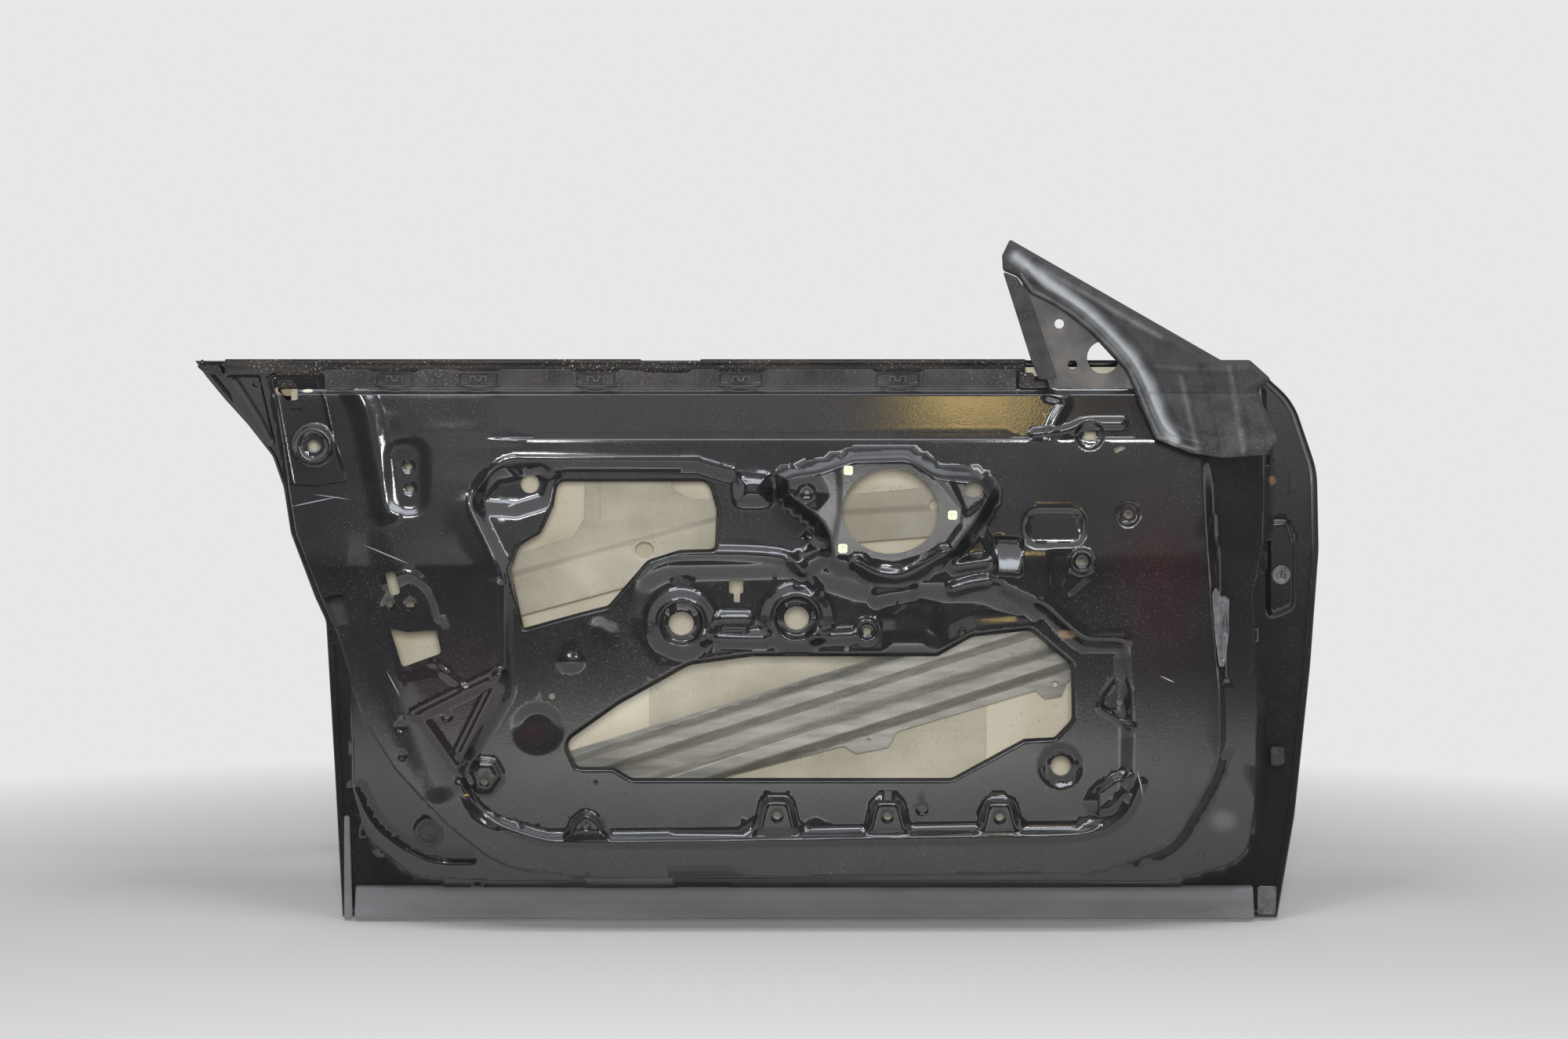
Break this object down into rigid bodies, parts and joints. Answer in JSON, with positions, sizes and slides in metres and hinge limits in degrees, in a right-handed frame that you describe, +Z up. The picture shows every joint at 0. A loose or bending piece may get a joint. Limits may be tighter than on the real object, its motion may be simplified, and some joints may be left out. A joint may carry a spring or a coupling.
{
  "type": "car door shell",
  "caption": "Left front door shell of a two-door car: stamped inner panel, outer skin, waist rail, mirror corner, impact beam and rubber seals.",
  "frame": {"origin": "bottom centre of the whole door's box", "axes": "+X to the front of the car, +Y to the outside of the door, +Z up as the door hangs"},
  "size_m": [1.4176, 0.156, 0.8507],
  "materials": {
    "black_paint": "gloss black body paint",
    "primer": "satin grey-beige primer",
    "bare_steel": "primed zinc-coated steel",
    "dull_steel": "dull grey coated steel",
    "spring_steel": "black spring steel",
    "rubber": "aged matt rubber",
    "damping_foil": "pressed damping sheet",
    "cream_plastic": "moulded natural nylon"
  },
  "bodies": {
    "root": {"inner_panel": "black_paint", "outer_skin": "black_paint", "waist_outer_reinforcement": "black_paint", "waist_tip": "black_paint", "waist_inner_rail": "black_paint", "rail_end_block": "black_paint", "mirror_bracket": "black_paint", "window_post": "black_paint", "rear_corner_gusset": "black_paint", "latch_reinforcement": "black_paint", "small_bracket": "black_paint", "front_flange_strip": "black_paint", "belt_brace": "primer", "impact_beam": "bare_steel", "beam_rear_bracket": "bare_steel", "beam_front_bracket": "bare_steel", "upper_hinge_plate": "bare_steel", "lower_hinge_plate": "bare_steel", "latch_bracket": "dull_steel", "front_corner_plate": "dull_steel", "check_strap_bracket": "dull_steel", "weld_nut_1": "dull_steel", "weld_nut_2": "dull_steel", "weld_nut_3": "dull_steel", "weld_nut_4": "dull_steel", "flange_screw": "dull_steel", "rail_clip_1": "spring_steel", "rail_clip_2": "spring_steel", "rail_clip_3": "spring_steel", "rail_clip_4": "spring_steel", "rail_clip_5": "spring_steel", "mirror_seal": "rubber", "sill_seal": "rubber", "rear_edge_seal": "rubber", "corner_plug": "rubber", "edge_buffer": "rubber", "damping_pad": "damping_foil", "speaker_clip_1": "cream_plastic", "speaker_clip_2": "cream_plastic", "speaker_clip_3": "cream_plastic"}
  },
  "joints": []
}
